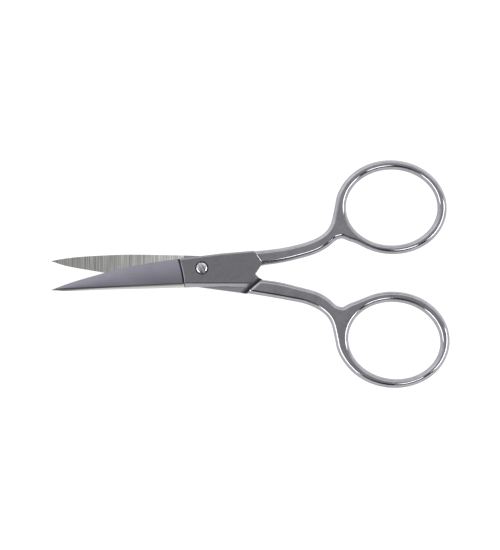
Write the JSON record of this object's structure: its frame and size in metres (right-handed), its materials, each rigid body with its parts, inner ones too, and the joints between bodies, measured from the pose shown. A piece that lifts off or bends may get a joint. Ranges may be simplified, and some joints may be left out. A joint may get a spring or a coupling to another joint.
{
  "type": "small scissors",
  "caption": "Small all-metal thread scissors: two forged halves with short straight blades and oval finger rings, crossing at a slotted pivot screw.",
  "frame": {"origin": "on the pivot axis, in the plane of the rear joint plate's outer face, which is the plane the snips lie on", "axes": "+X towards the finger rings, +Y towards the front half's finger ring, +Z along the pivot axis, from the rear half to the screw's head"},
  "size_m": [0.1017, 0.0587, 0.0032],
  "materials": {
    "inner_ground_steel": "ground crosswise, fine striations",
    "outer_satin_steel": "satin, polished along the blade",
    "plate_steel": "flat, finely brushed",
    "handle_steel": "polished, slightly worn",
    "screw_steel": "turned and polished"
  },
  "bodies": {
    "rear_half": {"rear_blade": "inner_ground_steel", "rear_joint_plate": "plate_steel", "rear_shank": "handle_steel", "rear_finger_ring": "handle_steel", "pivot_screw": "screw_steel"},
    "front_half": {"front_blade": "outer_satin_steel", "front_joint_plate": "plate_steel", "front_shank": "handle_steel", "front_finger_ring": "handle_steel"}
  },
  "joints": [
    {"name": "pivot", "type": "hinge", "parent": "rear_half", "child": "front_half", "pos_m": [0, 0, 0], "axis": [0, 0, 1], "range_deg": [-10.8, 75]}
  ]
}
